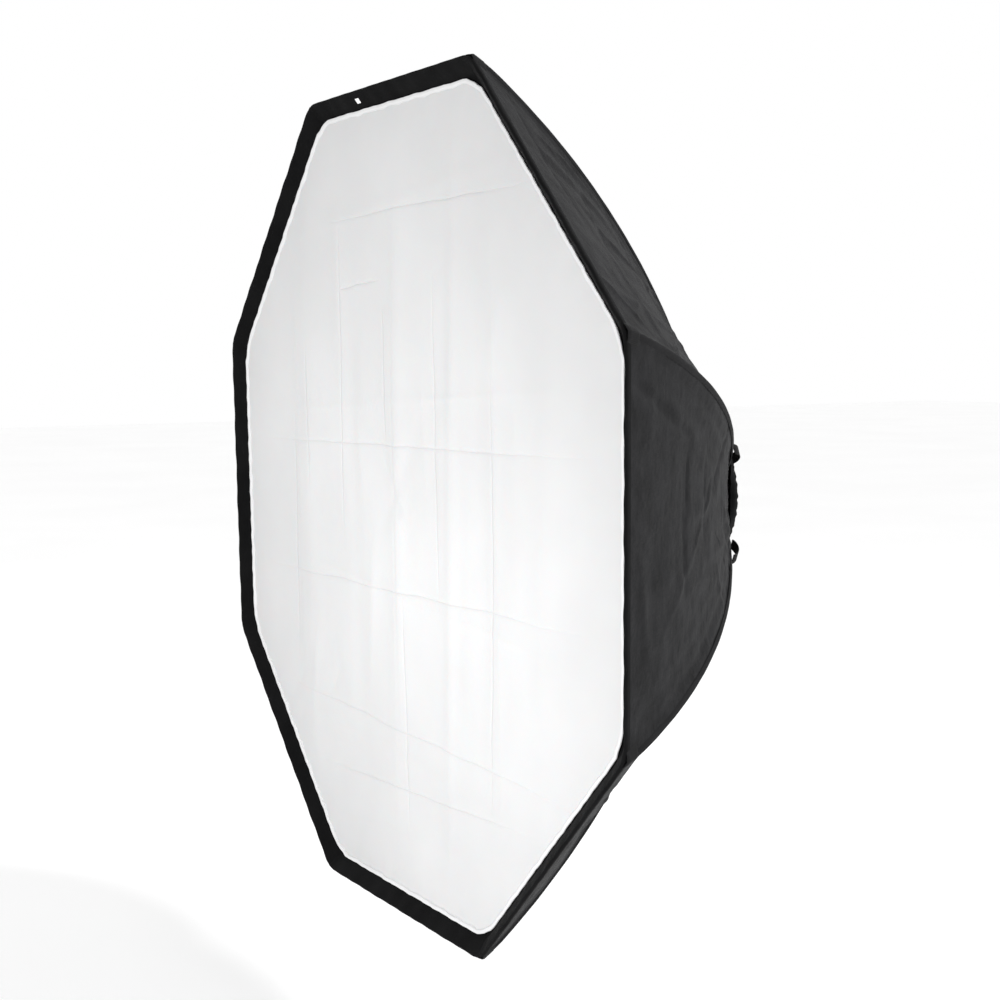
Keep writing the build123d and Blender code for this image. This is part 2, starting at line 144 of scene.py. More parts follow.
def fold_wave(x, y, start, end, width, height):
    """A soft rolling fold along a line."""
    side, share = line_distance(x, y, start, end)
    fade = np.clip(np.sin(np.clip(share, 0, 1) * math.pi), 0, 1)
    return height * fade * np.exp(-((side / width) ** 2))


def panel_half_width(along):
    return (REAR_RADIUS + (RIM_CORNER - REAR_RADIUS) * along / RIB_LENGTH) * math.sin(HALF)


def random_line(draw, turn, spread, shortest, longest):
    """Ends of a seeded line on a panel, in metres across and along it."""
    along = draw.uniform(0.08, 0.94) * RIB_LENGTH
    middle = draw.uniform(-0.85, 0.85) * panel_half_width(along)
    angle = draw.normal(turn, spread)
    half = draw.uniform(shortest, longest)
    reach = (half * math.cos(angle), half * math.sin(angle))
    return (middle - reach[0], along - reach[1]), (middle + reach[0], along + reach[1])


def panel_marks(number):
    """Fold marks of one panel from a seeded draw: pressed creases, tension lines and soft rolls."""
    draw = np.random.default_rng(40 + number)
    marks = []
    for turn, spread in ((0.15, 0.25), (0.75, 0.2), (-0.75, 0.2)):
        for _ in range(3):
            start, end = random_line(draw, turn, spread, 0.05, 0.16)
            height = draw.choice([-1, 1]) * draw.uniform(0.0022, 0.0042)
            marks.append((crease, start, end, draw.uniform(0.006, 0.010), height))
    for _ in range(14):
        start, end = random_line(draw, math.pi / 2, 0.30, 0.08, 0.24)
        height = draw.choice([-1, 1]) * draw.uniform(0.0016, 0.0038)
        marks.append((fold_wave, start, end, draw.uniform(0.008, 0.018), height))
    for _ in range(6):
        start, end = random_line(draw, 0.0, 0.4, 0.06, 0.18)
        height = draw.choice([-1, 1]) * draw.uniform(0.0014, 0.0030)
        marks.append((fold_wave, start, end, draw.uniform(0.010, 0.020), height))
    return marks


PANEL_SAG = 0.010            # depth of a panel's sag at its middle
RIB_SLEEVE = 0.0030          # height of the cloth over a rib's sleeve
RIB_SLEEVE_WIDTH = 0.016
TENSION_HEIGHT = 0.0020      # ripples beside a rib
TENSION_PITCH = 0.034
TENSION_REACH = 0.05
PANEL_NOISE = ((0.0034, 6.0, 0), (0.0015, 17.0, 20), (0.0005, 48.0, 40))    # height, scale, seed


def sleeve_rise(distance, u):
    """Height of a rib's sleeve at a distance from the rib line."""
    along = np.sin(math.pi * np.clip(u * 1.4, 0, 1) * 0.5)
    return RIB_SLEEVE * np.exp(-((distance / RIB_SLEEVE_WIDTH) ** 2)) * along


def panel_relief(number, across, along, side_distance, u, points):
    """How far a panel's cloth stands out from its flat course."""
    share = 1 - side_distance
    relief = -PANEL_SAG * (1 - share**2) * np.sin(math.pi * u)
    seam_distance = side_distance * (REAR_RADIUS + (RIM_CORNER - REAR_RADIUS) * u) * math.sin(HALF)
    relief += sleeve_rise(seam_distance, u)
    near_rim = np.clip((1 - u) / 0.05, 0, 1)
    inside = np.clip(side_distance / 0.07, 0, 1) * near_rim * np.clip(u / 0.06, 0, 1)
    for shape, start, end, width, height in panel_marks(number):
        relief += inside * shape(across, along, start, end, width, height)
    hold = np.clip(side_distance / 0.10, 0, 1) * near_rim
    for height, scale, seed in PANEL_NOISE:
        relief += hold * height * soft_noise(points, scale, number + seed)
    ripple = np.sin(seam_distance * 2 * math.pi / TENSION_PITCH + 9 * u)
    tension = TENSION_HEIGHT * ripple * np.exp(-seam_distance / TENSION_REACH)
    return relief + hold * tension * np.sin(math.pi * u)


CORNER_PULL = 0.0045         # how far a rim corner is drawn in,
CORNER_PULL_WIDTH = 0.011    # how far to each side of the rib line,
CORNER_PULL_DEPTH = 0.060    # and how far back from the rim


def round_corners(points):
    """Draw the rim's corners in a little, as cloth pulled over a rod's tip is rounded."""
    x, y, z = points[..., 0], points[..., 1], points[..., 2]
    angle = np.arctan2(z, x)
    from_rib = (angle % STEP) - HALF
    aside = np.hypot(x, z) * np.sin(from_rib)
    near = np.clip((RIM_Y + CORNER_PULL_DEPTH - y) / CORNER_PULL_DEPTH, 0, 1)
    pull = CORNER_PULL * near**2 * np.exp(-((aside / CORNER_PULL_WIDTH) ** 2))
    inward = np.stack([-np.cos(angle), 0 * angle, -np.sin(angle)], -1)
    return points + pull[..., None] * inward


def panel_points(number, rows, columns, lift):
    """Grid of points, normals and flat coordinates of one panel, rows along it and columns across."""
    u = np.linspace(0, 1, rows + 1)[:, None] * np.ones((1, columns + 1))
    w = np.linspace(-1, 1, columns + 1)[None, :] * np.ones((rows + 1, 1))
    radius, y, angle = rib_line(u)
    out = outward(PANELS[number])
    side = along_side(PANELS[number])
    half = radius * math.sin(HALF)
    base = (radius * FLAT)[..., None] * out + (w * half)[..., None] * side + y[..., None] * BACK
    steep = np.stack([np.sin(angle), FLAT * np.cos(angle)], -1)
    steep /= np.linalg.norm(steep, axis=-1, keepdims=True)
    normal = steep[..., :1] * out + steep[..., 1:] * BACK
    across = w * half
    along = u * RIB_LENGTH
    relief = panel_relief(number, across, along, 1 - np.abs(w), u, base)
    close_up = np.clip((1 - u) / LINING_RIM_EASE, LINING_RIM_SHARE, 1)
    points = round_corners(base + (relief + lift * close_up)[..., None] * normal)
    return points, surface_normals(points), np.stack([across, along + 2.0 * number], -1)


def surface_normals(points):
    """Unit normals of a grid of points, by the turn from its columns to its rows."""
    down = np.gradient(points, axis=0)
    right = np.gradient(points, axis=1)
    normal = np.cross(right, down)
    return normal / np.maximum(np.linalg.norm(normal, axis=-1, keepdims=True), 1e-12)


# ---- mesh helpers ----
def wrapped_normals(points):
    """Normals of a grid whose last column is its first again, without a seam there."""
    wrapped = np.concatenate([points[:, -3:-1], points, points[:, 1:3]], axis=1)
    return surface_normals(wrapped)[:, 2:-2]


def path_steps(path):
    """Distance travelled along a path at each of its points."""
    return np.concatenate([[0], np.cumsum(np.linalg.norm(np.diff(path, axis=0), axis=1))])


def new_piece(name, vertices, faces, smooth=True):
    mesh = bpy.data.meshes.new(name)
    mesh.from_pydata([tuple(v) for v in vertices], [], faces)
    mesh.update()
    if smooth:
        mesh.shade_smooth()
    piece = bpy.data.objects.new(name, mesh)
    bpy.context.scene.collection.objects.link(piece)
    return piece


def finish_piece(piece, material, body, nodes):
    """Give a piece its material and slot, let it ride, and let it stand for its CAD nodes."""
    piece.data.materials.clear()
    piece.data.materials.append(material)
    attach(piece, body)
    if nodes:
        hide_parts(*nodes)


def grid_mesh(name, blocks, flip=False):
    """One mesh of several grids, each with its own points, normals and flat coordinates."""
    vertices, faces, normals, flats = [], [], [], []
    start = 0
    for points, normal, flat in blocks:
        rows, columns = points.shape[:2]
        vertices.append(points.reshape(-1, 3))
        normals.append(normal.reshape(-1, 3))
        flats.append(flat.reshape(-1, 2))
        ids = start + np.arange(rows * columns).reshape(rows, columns)
        quads = np.stack([ids[:-1, :-1], ids[:-1, 1:], ids[1:, 1:], ids[1:, :-1]], -1).reshape(-1, 4)
        faces.append(quads[:, ::-1] if flip else quads)
        start += rows * columns
    vertices = np.concatenate(vertices)
    normals = np.concatenate(normals) * (-1 if flip else 1)
    flats = np.concatenate(flats)
    faces = np.concatenate(faces)
    piece = new_piece(name, vertices, [tuple(int(i) for i in face) for face in faces])
    corners = np.empty(len(piece.data.loops), dtype=np.int64)
    piece.data.loops.foreach_get("vertex_index", corners)
    cloth = piece.data.uv_layers.new(name="cloth")
    cloth.data.foreach_set("uv", flats[corners].reshape(-1))
    piece.data.normals_split_custom_set([tuple(n) for n in normals[corners]])
    return piece


# ---- materials ----
class Nodes:
    """Short way to wire a procedural material."""

    def __init__(self, name):
        self.material = bpy.data.materials.new(name)
        self.material.use_nodes = True
        self.tree = self.material.node_tree
        self.tree.nodes.clear()
        self.shader = self.add("ShaderNodeBsdfPrincipled")
        output = self.add("ShaderNodeOutputMaterial")
        self.link(self.shader.outputs["BSDF"], output.inputs["Surface"])
        self.bumped = None

    def add(self, kind, **settings):
        node = self.tree.nodes.new(kind)
        for key, value in settings.items():
            setattr(node, key, value)
        return node

    def link(self, source, target):
        self.tree.links.new(source, target)

    def constant(self, **values):
        for key, value in values.items():
            self.shader.inputs[key.replace("_", " ")].default_value = value

    def place(self, kind):
        """Cloth metres from the piece's own map, or object metres."""
        if kind == "cloth":
            return self.add("ShaderNodeUVMap", uv_map="cloth").outputs["UV"]
        return self.add("ShaderNodeTexCoord").outputs["Object"]

    def noise(self, where, scale, detail=3.0, roughness=0.5):
        node = self.add("ShaderNodeTexNoise")
        node.inputs["Scale"].default_value = scale
        node.inputs["Detail"].default_value = detail
        node.inputs["Roughness"].default_value = roughness
        self.link(where, node.inputs["Vector"])
        return node.outputs["Fac"]

    def wave(self, where, scale, axis):
        """Stripes across one axis, scale of them to a metre."""
        node = self.add("ShaderNodeTexWave", bands_direction=axis)
        node.inputs["Scale"].default_value = scale * 2 * math.pi / 20
        self.link(where, node.inputs["Vector"])
        return node.outputs["Fac"]

    def math(self, operation, first, second):
        node = self.add("ShaderNodeMath", operation=operation)
        for socket, value in zip(node.inputs, (first, second)):
            if isinstance(value, (int, float)):
                socket.default_value = value
            else:
                self.link(value, socket)
        return node.outputs[0]

    def colour(self, factor, dark, light):
        """Base colour between two shades."""
        node = self.add("ShaderNodeValToRGB")
        for element, position, shade in zip(node.color_ramp.elements, (0.3, 0.7), (dark, light)):
            element.position = position
            element.color = (*shade, 1)
        self.link(factor, node.inputs["Fac"])
        self.link(node.outputs["Color"], self.shader.inputs["Base Color"])

    def roughness(self, factor, low, high):
        node = self.add("ShaderNodeMapRange")
        node.inputs["To Min"].default_value = low
        node.inputs["To Max"].default_value = high
        self.link(factor, node.inputs["Value"])
        self.link(node.outputs["Result"], self.shader.inputs["Roughness"])

    def wandering(self, where, scale, reach):
        """A position that strays a little, so that straight lines bend."""
        stray = self.add("ShaderNodeTexNoise")
        stray.inputs["Scale"].default_value = scale
        self.link(where, stray.inputs["Vector"])
        node = self.add("ShaderNodeVectorMath", operation="MULTIPLY_ADD")
        self.link(stray.outputs["Color"], node.inputs[0])
        node.inputs[1].default_value = (reach, reach, 0.0)
        self.link(where, node.inputs[2])
        return node.outputs[0]

    def dot(self, vector, direction, offset):
        """Part of a position along a fixed direction, less an offset."""
        node = self.add("ShaderNodeVectorMath", operation="DOT_PRODUCT")
        node.inputs[1].default_value = (*direction, 0.0)
        self.link(vector, node.inputs[0])
        return self.math("SUBTRACT", node.outputs["Value"], offset)

    def pressed_line(self, where, start, end, width):
        """A thin pressed crease between two points of the cloth, fading at its ends."""
        length = math.dist(start, end)
        along = ((end[0] - start[0]) / length, (end[1] - start[1]) / length)
        aside = (-along[1], along[0])
        apart = self.dot(where, aside, start[0] * aside[0] + start[1] * aside[1])
        steep = self.math("MULTIPLY", self.math("ABSOLUTE", apart, 0.0), -1.0 / width)
        reach = self.dot(where, along, start[0] * along[0] + start[1] * along[1])
        ends = self.math("MINIMUM", reach, self.math("SUBTRACT", length, reach))
        fade = self.add("ShaderNodeMath", operation="MULTIPLY", use_clamp=True)
        self.link(ends, fade.inputs[0])
        fade.inputs[1].default_value = 4.0 / length
        return self.math("MULTIPLY", self.math("EXPONENT", steep, 0.0), fade.outputs[0])

    def bump(self, height, distance, strength=1.0):
        node = self.add("ShaderNodeBump")
        node.inputs["Distance"].default_value = distance
        node.inputs["Strength"].default_value = strength
        self.link(height, node.inputs["Height"])
        if self.bumped is not None:
            self.link(self.bumped, node.inputs["Normal"])
        self.bumped = node.outputs["Normal"]
        self.link(self.bumped, self.shader.inputs["Normal"])


def cloth_material(name, dark, light, rough, sheen, weave_pitch, weave_depth=0.0002, crumple=0.0006):
    """Woven cloth: a fine weave, a slight mottle and small crumples."""
    made = Nodes(name)
    where = made.place("cloth")
    mottle = made.noise(where, 9.0, 5.0, 0.6)
    made.colour(mottle, dark, light)
    made.roughness(made.noise(where, 140.0, 2.0), rough - 0.06, rough + 0.06)
    made.constant(Sheen_Weight=sheen, Sheen_Roughness=0.45, Specular_IOR_Level=0.04)
    per_metre = 1.0 / weave_pitch
    warp = made.wave(where, per_metre, "X")
    weft = made.wave(where, per_metre, "Y")
    made.bump(made.noise(where, 22.0, 4.0, 0.55), crumple)
    made.bump(made.math("MULTIPLY", warp, weft), weave_depth, 0.7)
    return made.material


def ripstop_material():
    """Black coated nylon with a grid of thicker ripstop threads."""
    made = Nodes("black ripstop nylon")
    where = made.place("cloth")
    mottle = made.noise(where, 14.0, 7.0, 0.70)
    made.colour(mottle, (0.0046, 0.0046, 0.0049), (0.0136, 0.0136, 0.0145))
    made.roughness(made.noise(where, 160.0, 2.0), 0.50, 0.64)
    made.constant(Specular_IOR_Level=0.04)
    threads = made.math("MAXIMUM", made.wave(where, 200.0, "X"), made.wave(where, 200.0, "Y"))
    ribs = made.math("POWER", threads, 12.0)
    fine = made.math("MULTIPLY", made.wave(where, 1400.0, "X"), made.wave(where, 1400.0, "Y"))
    made.bump(made.noise(where, 24.0, 5.0, 0.6), 0.0036)
    made.bump(made.noise(where, 80.0, 4.0, 0.6), 0.0011)
    made.bump(made.math("ADD", ribs, fine), 0.00012, 0.6)
    return made.material


# Pressed creases of the folded diffuser: start and end as (x, z), and width.
STORAGE_CREASES = (
    ((-0.245, -0.10), (-0.235, 0.56), 0.0030),
    ((-0.395, 0.02), (-0.400, 0.33), 0.0028),
    ((-0.050, 0.10), (-0.055, 0.40), 0.0028),
    ((0.150, -0.20), (0.140, 0.45), 0.0034),
    ((0.020, -0.62), (0.010, -0.12), 0.0032),
    ((0.330, -0.55), (0.345, 0.30), 0.0030),
    ((-0.480, -0.35), (-0.470, 0.20), 0.0030),
    ((-0.260, 0.415), (-0.060, 0.430), 0.0028),
    ((-0.640, 0.120), (0.650, 0.130), 0.0032),
    ((-0.620, -0.150), (0.640, -0.140), 0.0030),
    ((-0.560, -0.395), (0.600, -0.425), 0.0032),
    ((-0.420, -0.540), (0.480, -0.500), 0.0030),
    ((-0.300, 0.545), (0.480, 0.555), 0.0028),
)


def diffuser_material():
    """White translucent polyester: matte, very even, with a fine weave."""
    made = Nodes("white diffuser cloth")
    where = made.place("cloth")
    mottle = made.noise(where, 3.0, 3.0, 0.5)
    made.colour(mottle, (0.500, 0.501, 0.504), (0.536, 0.537, 0.540))
    made.constant(Roughness=0.8, Sheen_Weight=0.03, Sheen_Roughness=0.5, Specular_IOR_Level=0.2)
    made.constant(Subsurface_Weight=0.12, Subsurface_Scale=0.004)
    bent = made.wandering(where, 7.0, 0.012)
    lines = made.pressed_line(bent, *STORAGE_CREASES[0])
    for ends_and_width in STORAGE_CREASES[1:]:
        lines = made.math("MAXIMUM", lines, made.pressed_line(bent, *ends_and_width))
    fine = made.math("MULTIPLY", made.wave(where, 1300.0, "X"), made.wave(where, 1300.0, "Y"))
    made.bump(made.noise(where, 20.0, 4.0, 0.5), 0.0005)
    made.bump(lines, -0.0014)
    made.bump(fine, 0.0001, 0.5)
    return made.material


def silver_material():
    """Silver coated lining with a pebbled, crinkled face."""
    made = Nodes("silver lining")
    where = made.place("cloth")
    crinkle = made.noise(where, 60.0, 5.0, 0.65)
    made.colour(crinkle, (0.55, 0.56, 0.58), (0.72, 0.73, 0.75))
    made.constant(Metallic=0.75, Roughness=0.38)
    made.bump(crinkle, 0.0012)
    return made.material


def metal_material(name, dark, light, rough, brushed):
    """Metal with fine tooling marks and a little uneven polish."""
    made = Nodes(name)
    where = made.place("object")
    made.colour(made.noise(where, 35.0, 4.0), dark, light)
    made.roughness(made.noise(where, 300.0, 2.0), rough - 0.07, rough + 0.09)
    made.constant(Metallic=1.0)
    if brushed:
        made.bump(made.wave(where, 1800.0, "Y"), 0.00004, 0.5)
    made.bump(made.noise(where, 900.0, 3.0), 0.00006, 0.5)
    return made.material


def coated_material(name, dark, light, rough, grain_scale, grain_depth):
    """Powder coat or moulded plastic with a fine pebbled skin."""
    made = Nodes(name)
    where = made.place("object")
    made.colour(made.noise(where, 40.0, 3.0), dark, light)
    grain = made.noise(where, grain_scale, 3.0)
    made.roughness(grain, rough - 0.08, rough + 0.08)
    made.constant(Specular_IOR_Level=0.45)
    made.bump(grain, grain_depth)
    return made.material


SHELL_CLOTH = ripstop_material()
# Each cloth: darkest and lightest colour, roughness, sheen, pitch of the weave, and where it isn't
# the usual, the depth of the weave and of the crumples.
LIP_CLOTH = cloth_material(
    "black lip cloth", (0.003, 0.003, 0.0032), (0.006, 0.006, 0.0062), 0.85, 0.01, 0.0012
)
BINDING_CLOTH = cloth_material(
    "black binding", (0.0075, 0.0075, 0.0079), (0.011, 0.011, 0.0116), 0.8, 0.02, 0.0014
)
CUFF_CLOTH = cloth_material(
    "black cuff cloth", (0.007, 0.007, 0.0074), (0.013, 0.013, 0.0135), 0.85, 0.03, 0.0015
)
WEBBING = cloth_material(
    "black webbing", (0.006, 0.006, 0.0062), (0.013, 0.013, 0.0134), 0.75, 0.03, 0.0022, 0.0006, 0.0003
)
ELASTIC = cloth_material(
    "black elastic", (0.008, 0.008, 0.0084), (0.018, 0.018, 0.0185), 0.75, 0.03, 0.0016, 0.0005, 0.0003
)
HEM_CLOTH = cloth_material(
    "white hem", (0.60, 0.60, 0.604), (0.65, 0.65, 0.653), 0.7, 0.02, 0.0012
)
TAG_CLOTH = cloth_material(
    "white label cloth", (0.80, 0.80, 0.80), (0.90, 0.90, 0.90), 0.6, 0.1, 0.0008
)
DIFFUSER_CLOTH = diffuser_material()
SILVER_CLOTH = silver_material()


# ---- shell, lining and lip: one petal to each rib, from mid-panel to mid-panel ----
def petal_blocks(grids, rib):
    """The two half panels beside a rib."""
    before, after = grids[rib], grids[(rib + 1) % SIDES]
    middle = before[0].shape[1] // 2
    return [[part[:, middle:] for part in before], [part[:, : middle + 1] for part in after]]


def fold_with_rib(piece):
    """Give a piece its own copy of its mesh data."""
    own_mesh(piece)


def make_petals(name, lift, coarser, flip, material, nodes):
    """Shell or lining: each rib's petal in bands."""
    rows, columns = SHELL_ROWS // coarser, SHELL_COLUMNS // coarser
    grids = [panel_points(n, rows, columns, lift) for n in range(SIDES)]
    for rib in range(SIDES):
        blocks = petal_blocks(grids, rib)
        for band, (first, last, keep) in enumerate(PETAL_BANDS, start=1):
            cut = slice(first // coarser, last // coarser + 1)
            parts = [[part[cut] for part in block] for block in blocks]
            petal = grid_mesh(f"{name}_{rib + 1}_{band}", parts, flip=flip)
            finish_piece(petal, material, f"rib_{rib + 1}", [nodes[rib]])
            fold_with_rib(petal)


def make_shell():
    gores = [f"shell_gore_{rib + 1}" for rib in range(SIDES)]
    make_petals("shell_petal", 0.0, 1, False, SHELL_CLOTH, gores)


def make_lining():
    lining = ["silver_lining"] * SIDES
    make_petals("lining_petal", LINING_LIFT, LINING_COARSER, True, SILVER_CLOTH, lining)


LIP_WRAP = 0.012             # the lip laps this far back over the shell
LIP_INNER_APOTHEM = DIFFUSER_APOTHEM + 0.0015
LIP_TURN_IN = 0.014          # and this far in behind the diffuser
LIP_BOW = 0.0012
LIP_RIPPLES = ((0.0007, 0.055, 1), (0.0006, 0.139, 0))    # height, pitch, turn of phase with each side


def lip_profile():
    """(apothem, y) points from the outside of the shell, round the rim and down to the diffuser."""
    turn = RIM_ANGLE
    back = np.array([-FLAT * math.cos(turn), math.sin(turn)])
    back /= np.linalg.norm(back)
    away = np.array([math.sin(turn), FLAT * math.cos(turn)])
    away /= np.linalg.norm(away)
    rim = np.array([RIM_APOTHEM, RIM_Y])
    points = [
        rim + back * LIP_WRAP + away * 0.0006,
        rim + back * (LIP_WRAP - 0.001) + away * 0.0016,
        rim + back * 0.004 + away * 0.0018,
        rim + away * 0.0014,
        rim + np.array([0.0, -0.0022]),
        rim + np.array([-0.0030, -0.0024]),
    ]
    start = points[-1]
    end = np.array([LIP_INNER_APOTHEM, DIFFUSER_Y + 0.0004])
    for share in np.linspace(0, 1, 9)[1:]:
        bow = LIP_BOW * math.sin(math.pi * share)
        points.append(start + (end - start) * share + np.array([0.0, -bow]))
    points.append(end + np.array([-LIP_TURN_IN, 0.0028]))
    return np.array(points)


def lip_points(number):
    """Grid of one side of the lip."""
    profile = lip_profile()
    w = np.linspace(-1, 1, SHELL_COLUMNS + 1)
    out, side = outward(PANELS[number]), along_side(PANELS[number])
    steps = path_steps(profile)
    share = steps / steps[-1]
    across = w[None, :] * profile[:, 0][:, None] * math.tan(HALF)
    ripple = sum(
        height * np.sin(across * 2 * math.pi / pitch + number * turn)
        for height, pitch, turn in LIP_RIPPLES
    )
    ripple = ripple * np.sin(math.pi * share)[:, None] * np.clip((1 - np.abs(w)) / 0.1, 0, 1)[None, :]
    points = profile[:, 0][:, None, None] * out + across[..., None] * side
    points = points + (profile[:, 1][:, None] - ripple)[..., None] * BACK
    flat = np.stack([across, np.broadcast_to(steps[:, None], across.shape)], -1)
    points = round_corners(points)
    return points, surface_normals(points), flat


def make_lip():
    grids = [lip_points(n) for n in range(SIDES)]
    for rib in range(SIDES):
        side = grid_mesh(f"lip_side_{rib + 1}", petal_blocks(grids, rib))
        finish_piece(side, LIP_CLOTH, f"rib_{rib + 1}", ["front_lip"])
        fold_with_rib(side)


# ---- seam bindings, corner patches and webbing ----
def rib_frame(rib, u):
    """Point of a rib line and the directions into the panels beside it, with their normals."""
    radius, y, angle = rib_line(u)
    point = radius[..., None] * outward(RIBS[rib]) + y[..., None] * BACK
    normals = []
    for panel in (rib, (rib + 1) % SIDES):
        normal = np.sin(angle)[..., None] * outward(PANELS[panel])
        normal = normal + (FLAT * np.cos(angle))[..., None] * BACK
        normals.append(normal / np.linalg.norm(normal, axis=-1, keepdims=True))
    before = -along_side(PANELS[rib])
    after = along_side(PANELS[(rib + 1) % SIDES])
    return point, before, after, normals


def strip_over_seam(rib, start, end, rows, columns, half_width, height, foot):
    """Raised band that straddles a rib line, height above it at the seam and foot at its edges."""
    u = np.linspace(start, end, rows + 1)
    point, before, after, normals = rib_frame(rib, u)
    t = np.linspace(-1, 1, columns + 1)
    wander = np.array([noise.noise(Vector((rib * 3.7, value * 22.0, 1.3))) for value in u])
    distance = np.abs(t)[None, :] * half_width * (1 + 0.10 * wander[:, None])
    into = np.where((t < 0)[:, None], before, after)
    rise = foot + (height - foot) * np.cos(t * math.pi / 2) ** 1.2
    sleeve = sleeve_rise(distance, u[:, None])
    share = ((t + 1) / 2)[None, :, None]
    normal = (1 - share) * normals[0][:, None, :] + share * normals[1][:, None, :]
    normal /= np.linalg.norm(normal, axis=-1, keepdims=True)
    lift = rise[None, :] * (1 + 0.12 * wander[:, None]) + sleeve
    lift = lift * np.clip((1.008 - u) / 0.012, 0.15, 1)[:, None]
    lift = lift * np.clip((u - start) / 0.006, 0, 1)[:, None]
    points = point[:, None, :] + distance[..., None] * into[None, :, :] + lift[..., None] * normal
    points = round_corners(points)
    flat = np.stack(np.broadcast_arrays(t[None, :] * half_width, u[:, None] * RIB_LENGTH), -1)
    return points, surface_normals(points), flat


BINDING_HALF_WIDTH = 0.0070
BINDING_HEIGHT = 0.0036
BINDING_FOOT = 0.0001
PATCH_START = 0.962          # share of the rib line where a corner patch starts
PATCH_HALF_WIDTH = 0.018
PATCH_HEIGHT = BINDING_HEIGHT + 0.0006
PATCH_FOOT = 0.0002


def make_bindings():
    for rib in range(SIDES):
        block = strip_over_seam(rib, 0.0, 1.0, 150, 12, BINDING_HALF_WIDTH, BINDING_HEIGHT, BINDING_FOOT)
        binding = grid_mesh(f"seam_binding_{rib + 1}", [block])
        finish_piece(binding, BINDING_CLOTH, f"rib_{rib + 1}", ["seam_binding"])
        block = strip_over_seam(rib, PATCH_START, 1.0, 14, 16, PATCH_HALF_WIDTH, PATCH_HEIGHT, PATCH_FOOT)
        patch = grid_mesh(f"corner_patch_{rib + 1}", [block])
        finish_piece(patch, WEBBING, f"rib_{rib + 1}", [])


# Outline of a flat strap with eased edges, as shares of its width and thickness.
STRAP_OUTLINE = (
    (-0.5, 0.3), (-0.47, 0.5), (0.47, 0.5), (0.5, 0.3),
    (0.5, -0.3), (0.47, -0.5), (-0.47, -0.5), (-0.5, -0.3),
)


def strap(name, path, wide, width, thick, material, body, nodes):
    """Closed flat strap along a path; wide holds its width direction at each point of the path."""
    path, wide = np.asarray(path, float), np.asarray(wide, float)
    forward = np.gradient(path, axis=0)
    up = np.cross(forward, wide)
    up /= np.linalg.norm(up, axis=1, keepdims=True)
    vertices = []
    for place, side, normal in zip(path, wide, up):
        for across, high in STRAP_OUTLINE:
            vertices.append(place + side * across * width + normal * high * thick)
    faces = []
    count = len(STRAP_OUTLINE)
    for row in range(len(path) - 1):
        here, there = row * count, (row + 1) * count
        for k in range(count):
            after = (k + 1) % count
            faces.append((here + k, here + after, there + after, there + k))
    faces.append(tuple(reversed(range(count))))
    last = (len(path) - 1) * count
    faces.append(tuple(range(last, last + count)))
    piece = new_piece(name, vertices, faces, smooth=False)
    steps = path_steps(path)
    cloth = piece.data.uv_layers.new(name="cloth")
    for loop in piece.data.loops:
        row, k = divmod(loop.vertex_index, count)
        across, high = STRAP_OUTLINE[k]
        cloth.data[loop.index].uv = (across * width + high * thick, steps[row])
    finish_piece(piece, material, body, nodes)


LOOP_RADIUS = 0.240          # distance of a loop's middle from the axis
LOOP_HALF_LENGTH = 0.034
LOOP_FOOT = 0.0055           # height of its ends above the rib line
LOOP_HEIGHT = 0.0105
LOOP_WIDTH = 0.020
LOOP_THICK = 0.0018


def make_hanging_loops():
    for rib in range(SIDES):
        s = np.linspace(-1, 1, 25)
        u = u_at_radius(LOOP_RADIUS) + s * LOOP_HALF_LENGTH / RIB_LENGTH
        point, _, _, normals = rib_frame(rib, u)
        normal = normals[0] + normals[1]
        normal /= np.linalg.norm(normal, axis=1, keepdims=True)
        rise = LOOP_FOOT + LOOP_HEIGHT * np.clip(1 - s**2, 0, 1) ** 0.7
        path = point + rise[:, None] * normal
        wide = np.tile(along_side(RIBS[rib]), (len(s), 1))
        strap(
            f"hanging_loop_{rib + 1}", path, wide, LOOP_WIDTH, LOOP_THICK, WEBBING,
            f"rib_{rib + 1}", ["hanging_loops"],
        )


# ---- front diffuser and its hem ----
DIFFUSER_RINGS = 76
SECTOR_COLUMNS = 48
CORNER_ROUNDING = 0.010
DIFFUSER_LIFT = 0.0006       # the cloth's face lies this far in front of its CAD face
# Outline of the hem: how far in from the diffuser's edge, and how high above its face.
HEM_OUTLINE = (
    (0.0004, -0.0008),
    (-0.0010, 0.0002),
    (-0.0014, 0.0012),
    (-0.0014, 0.0026),
    (-0.0006, 0.0034),
    (0.00375, 0.0036),
    (0.0063, 0.0022),
    (0.0075, -0.0016),
)
# Hanging folds from top to bottom: x at the foot, lean to the top, width, height.
HANGING_FOLDS = (
    (-0.42, 0.03, 0.045, 0.0040),
    (-0.17, -0.05, 0.034, -0.0030),
    (-0.03, 0.04, 0.030, 0.0050),
    (0.17, 0.05, 0.022, 0.0045),
    (0.31, -0.03, 0.036, -0.0036),
    (0.49, 0.04, 0.040, 0.0040),
)
LEVEL_CREASES = ((0.56, 0.05), (0.20, 0.03), (-0.16, -0.05), (-0.47, -0.04), (-0.62, 0.05))    # z, tilt
UPRIGHT_CREASES = (-0.45, -0.02, 0.36)                                                         # x


def octagon_radius(angle, apothem, rounding=0.0):
    """Distance from the axis to an octagon's edge, with slightly rounded corners."""
    from_panel = (angle + HALF) % STEP - HALF
    from_corner = HALF - np.abs(from_panel)
    return apothem / np.cos(from_panel) - rounding * np.exp(-((from_corner / 0.022) ** 2))


